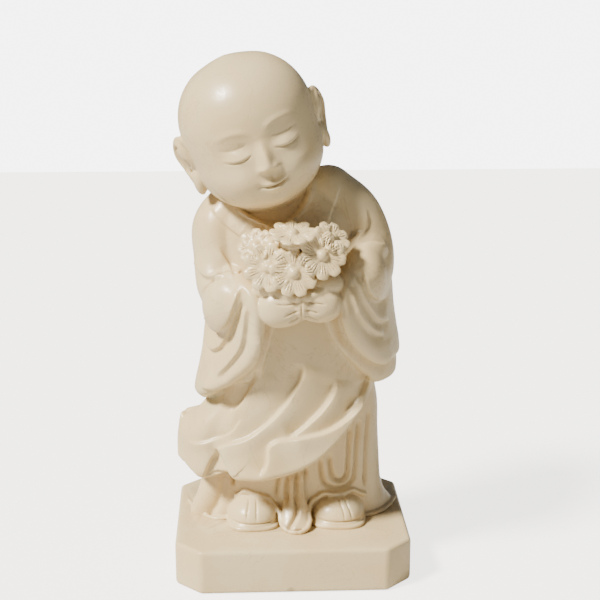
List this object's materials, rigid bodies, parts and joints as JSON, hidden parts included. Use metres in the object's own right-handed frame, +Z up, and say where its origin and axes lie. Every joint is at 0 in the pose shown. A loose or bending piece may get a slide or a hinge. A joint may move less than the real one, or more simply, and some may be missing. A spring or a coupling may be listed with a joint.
{
  "type": "monk statue",
  "caption": "Carved stone statue of a young monk in a wind-blown robe, holding a bunch of daisies, on a chamfered plinth. It stands by its own weight as a garden or room ornament.",
  "frame": {"origin": "middle of the plinth's flat underside", "axes": "+Z up along the statue's height, -Y towards its front, +X to the right of someone who faces the statue"},
  "size_m": [0.272, 0.231, 0.6016],
  "materials": {
    "white_marble": "satin polished"
  },
  "bodies": {
    "root": {"monk_statue": "white_marble"}
  },
  "joints": []
}
